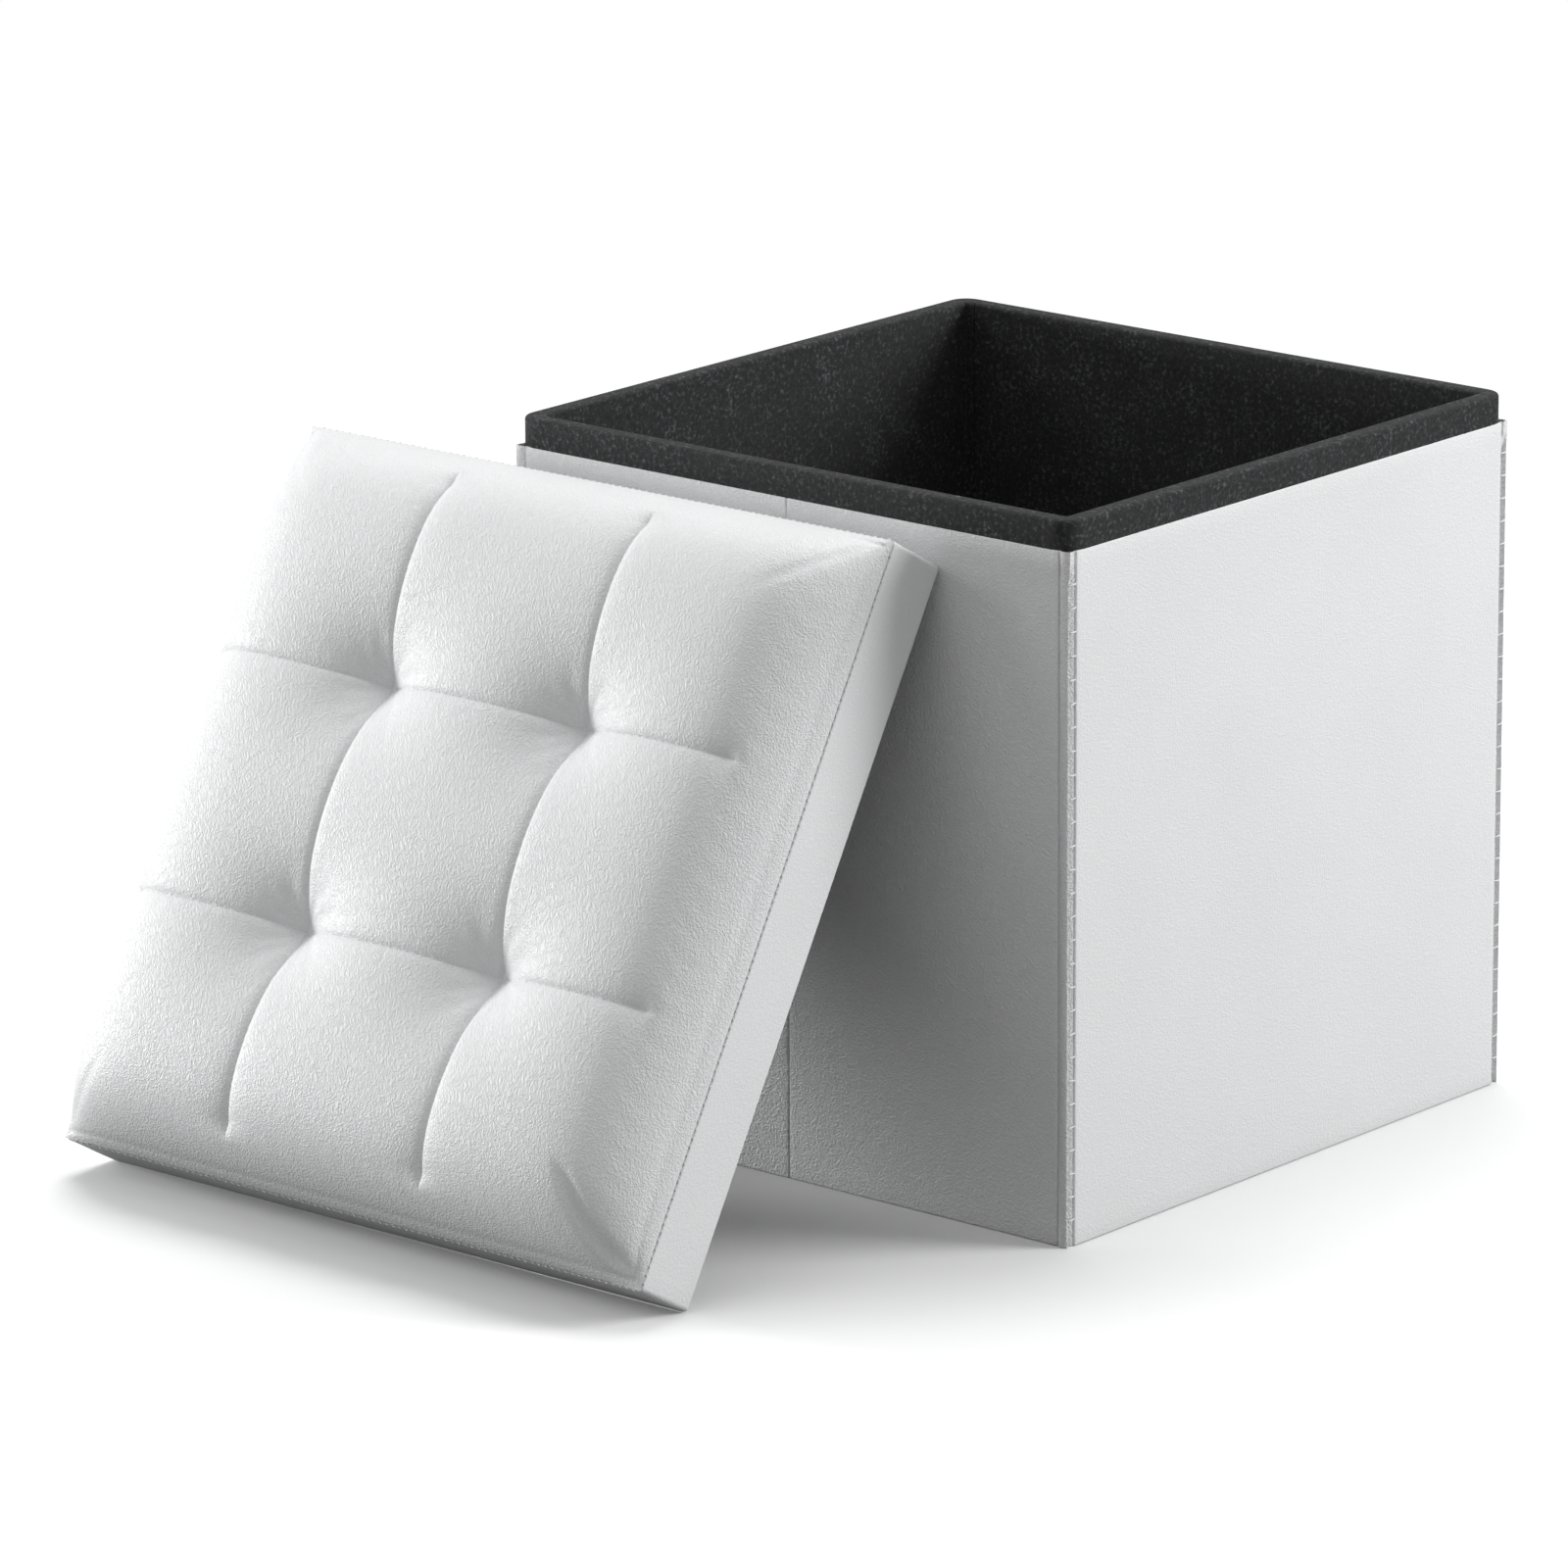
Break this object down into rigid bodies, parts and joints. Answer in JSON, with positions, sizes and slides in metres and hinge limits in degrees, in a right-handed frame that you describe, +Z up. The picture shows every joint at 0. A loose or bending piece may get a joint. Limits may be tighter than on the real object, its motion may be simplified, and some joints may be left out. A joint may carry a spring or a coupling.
{
  "type": "folding storage ottoman",
  "caption": "Square storage ottoman whose creased side walls fold inward, with a tufted padded lid that leans on one wall and swings over onto the box.",
  "frame": {"origin": "on the floor at the middle of the open box's footprint, not counting the leaning lid", "axes": "+Z up, -Y towards the plain front wall, -X towards the creased side wall that the lid leans on"},
  "size_m": [0.6248, 0.4836, 0.382],
  "materials": {
    "white_leather": "white imitation leather with a fine pebbled grain, satin",
    "black_lining": "black non-woven cloth with a fine speckled texture",
    "panel_board": "raw fibreboard",
    "cushion_foam": "pale upholstery foam",
    "tuft_twine": "waxed twine",
    "staple_wire": "galvanised wire"
  },
  "bodies": {
    "front_wall": {"front_panel": "panel_board", "front_skin": "white_leather", "front_lining": "black_lining", "bead_front_left": "white_leather", "bead_front_right": "white_leather", "floor_cloth": "black_lining", "base_board": "panel_board", "base_sleeve": "black_lining", "base_hinge_strip": "black_lining", "base_pull_loop": "black_lining"},
    "left_front_leaf": {"left_front_panel": "panel_board", "left_front_skin": "white_leather", "left_front_lining": "black_lining"},
    "left_rear_leaf": {"left_rear_panel": "panel_board", "left_rear_skin": "white_leather", "left_rear_lining": "black_lining"},
    "back_wall": {"back_panel": "panel_board", "back_skin": "white_leather", "back_lining": "black_lining", "bead_back_left": "white_leather", "bead_back_right": "white_leather"},
    "right_front_leaf": {"right_front_panel": "panel_board", "right_front_skin": "white_leather", "right_front_lining": "black_lining"},
    "right_rear_leaf": {"right_rear_panel": "panel_board", "right_rear_skin": "white_leather", "right_rear_lining": "black_lining"},
    "swing_knot": {"swing_knot": "tuft_twine"},
    "swing_cord": {"swing_cord": "tuft_twine"},
    "lid": {"lid_board": "panel_board", "lid_rail_front": "panel_board", "lid_rail_back": "panel_board", "lid_rail_left": "panel_board", "lid_rail_right": "panel_board", "lid_border": "white_leather", "lid_foam": "cushion_foam", "lid_cover": "white_leather", "lid_lining": "black_lining", "lid_staples": "staple_wire", "tuft_ties": "tuft_twine", "tuft_knots": "tuft_twine", "tuft_cord": "tuft_twine"}
  },
  "joints": [
    {"name": "fold", "type": "hinge", "parent": "front_wall", "child": "left_front_leaf", "pos_m": [-0.175, -0.169, 0], "axis": [0, 0, -1], "range_deg": [0, 90], "deforming": ["floor_cloth"]},
    {"name": "left_crease", "type": "hinge", "parent": "left_front_leaf", "child": "left_rear_leaf", "pos_m": [-0.1863, 0, 0], "axis": [0, 0, -1], "range_deg": [-180, 0]},
    {"name": "back_left_corner", "type": "hinge", "parent": "left_rear_leaf", "child": "back_wall", "pos_m": [-0.175, 0.169, 0], "axis": [0, 0, -1], "range_deg": [0, 90]},
    {"name": "front_right_corner", "type": "hinge", "parent": "front_wall", "child": "right_front_leaf", "pos_m": [0.175, -0.169, 0], "axis": [0, 0, 1], "range_deg": [0, 90]},
    {"name": "right_crease", "type": "hinge", "parent": "right_front_leaf", "child": "right_rear_leaf", "pos_m": [0.1863, 0, 0], "axis": [0, 0, 1], "range_deg": [-180, 0]},
    {"name": "lid_swing", "type": "hinge", "parent": "front_wall", "child": "swing_knot", "pos_m": [-0.13217, -0.0185, 0.37804], "axis": [0.2278, 0.9692, 0.0941], "range_deg": [0, 213.91]},
    {"name": "lid_steady", "type": "hinge", "parent": "swing_knot", "child": "swing_cord", "pos_m": [-0.28553, 0.03, 0.24978], "axis": [0.2278, 0.9692, 0.0941], "range_deg": [-213.92, 0]},
    {"name": "lid_turn", "type": "hinge", "parent": "swing_cord", "child": "lid", "pos_m": [-0.28553, 0.03, 0.24978], "axis": [0, 1, 0], "range_deg": [0, 60.01]}
  ],
  "couplings": [
    {"joint": "left_crease", "follows": "fold", "ratio": -2},
    {"joint": "back_left_corner", "follows": "fold", "ratio": 1},
    {"joint": "front_right_corner", "follows": "fold", "ratio": 1},
    {"joint": "right_crease", "follows": "fold", "ratio": -2},
    {"joint": "lid_steady", "follows": "lid_swing", "ratio": -1},
    {"joint": "lid_turn", "follows": "lid_swing", "ratio": 0.28049}
  ]
}
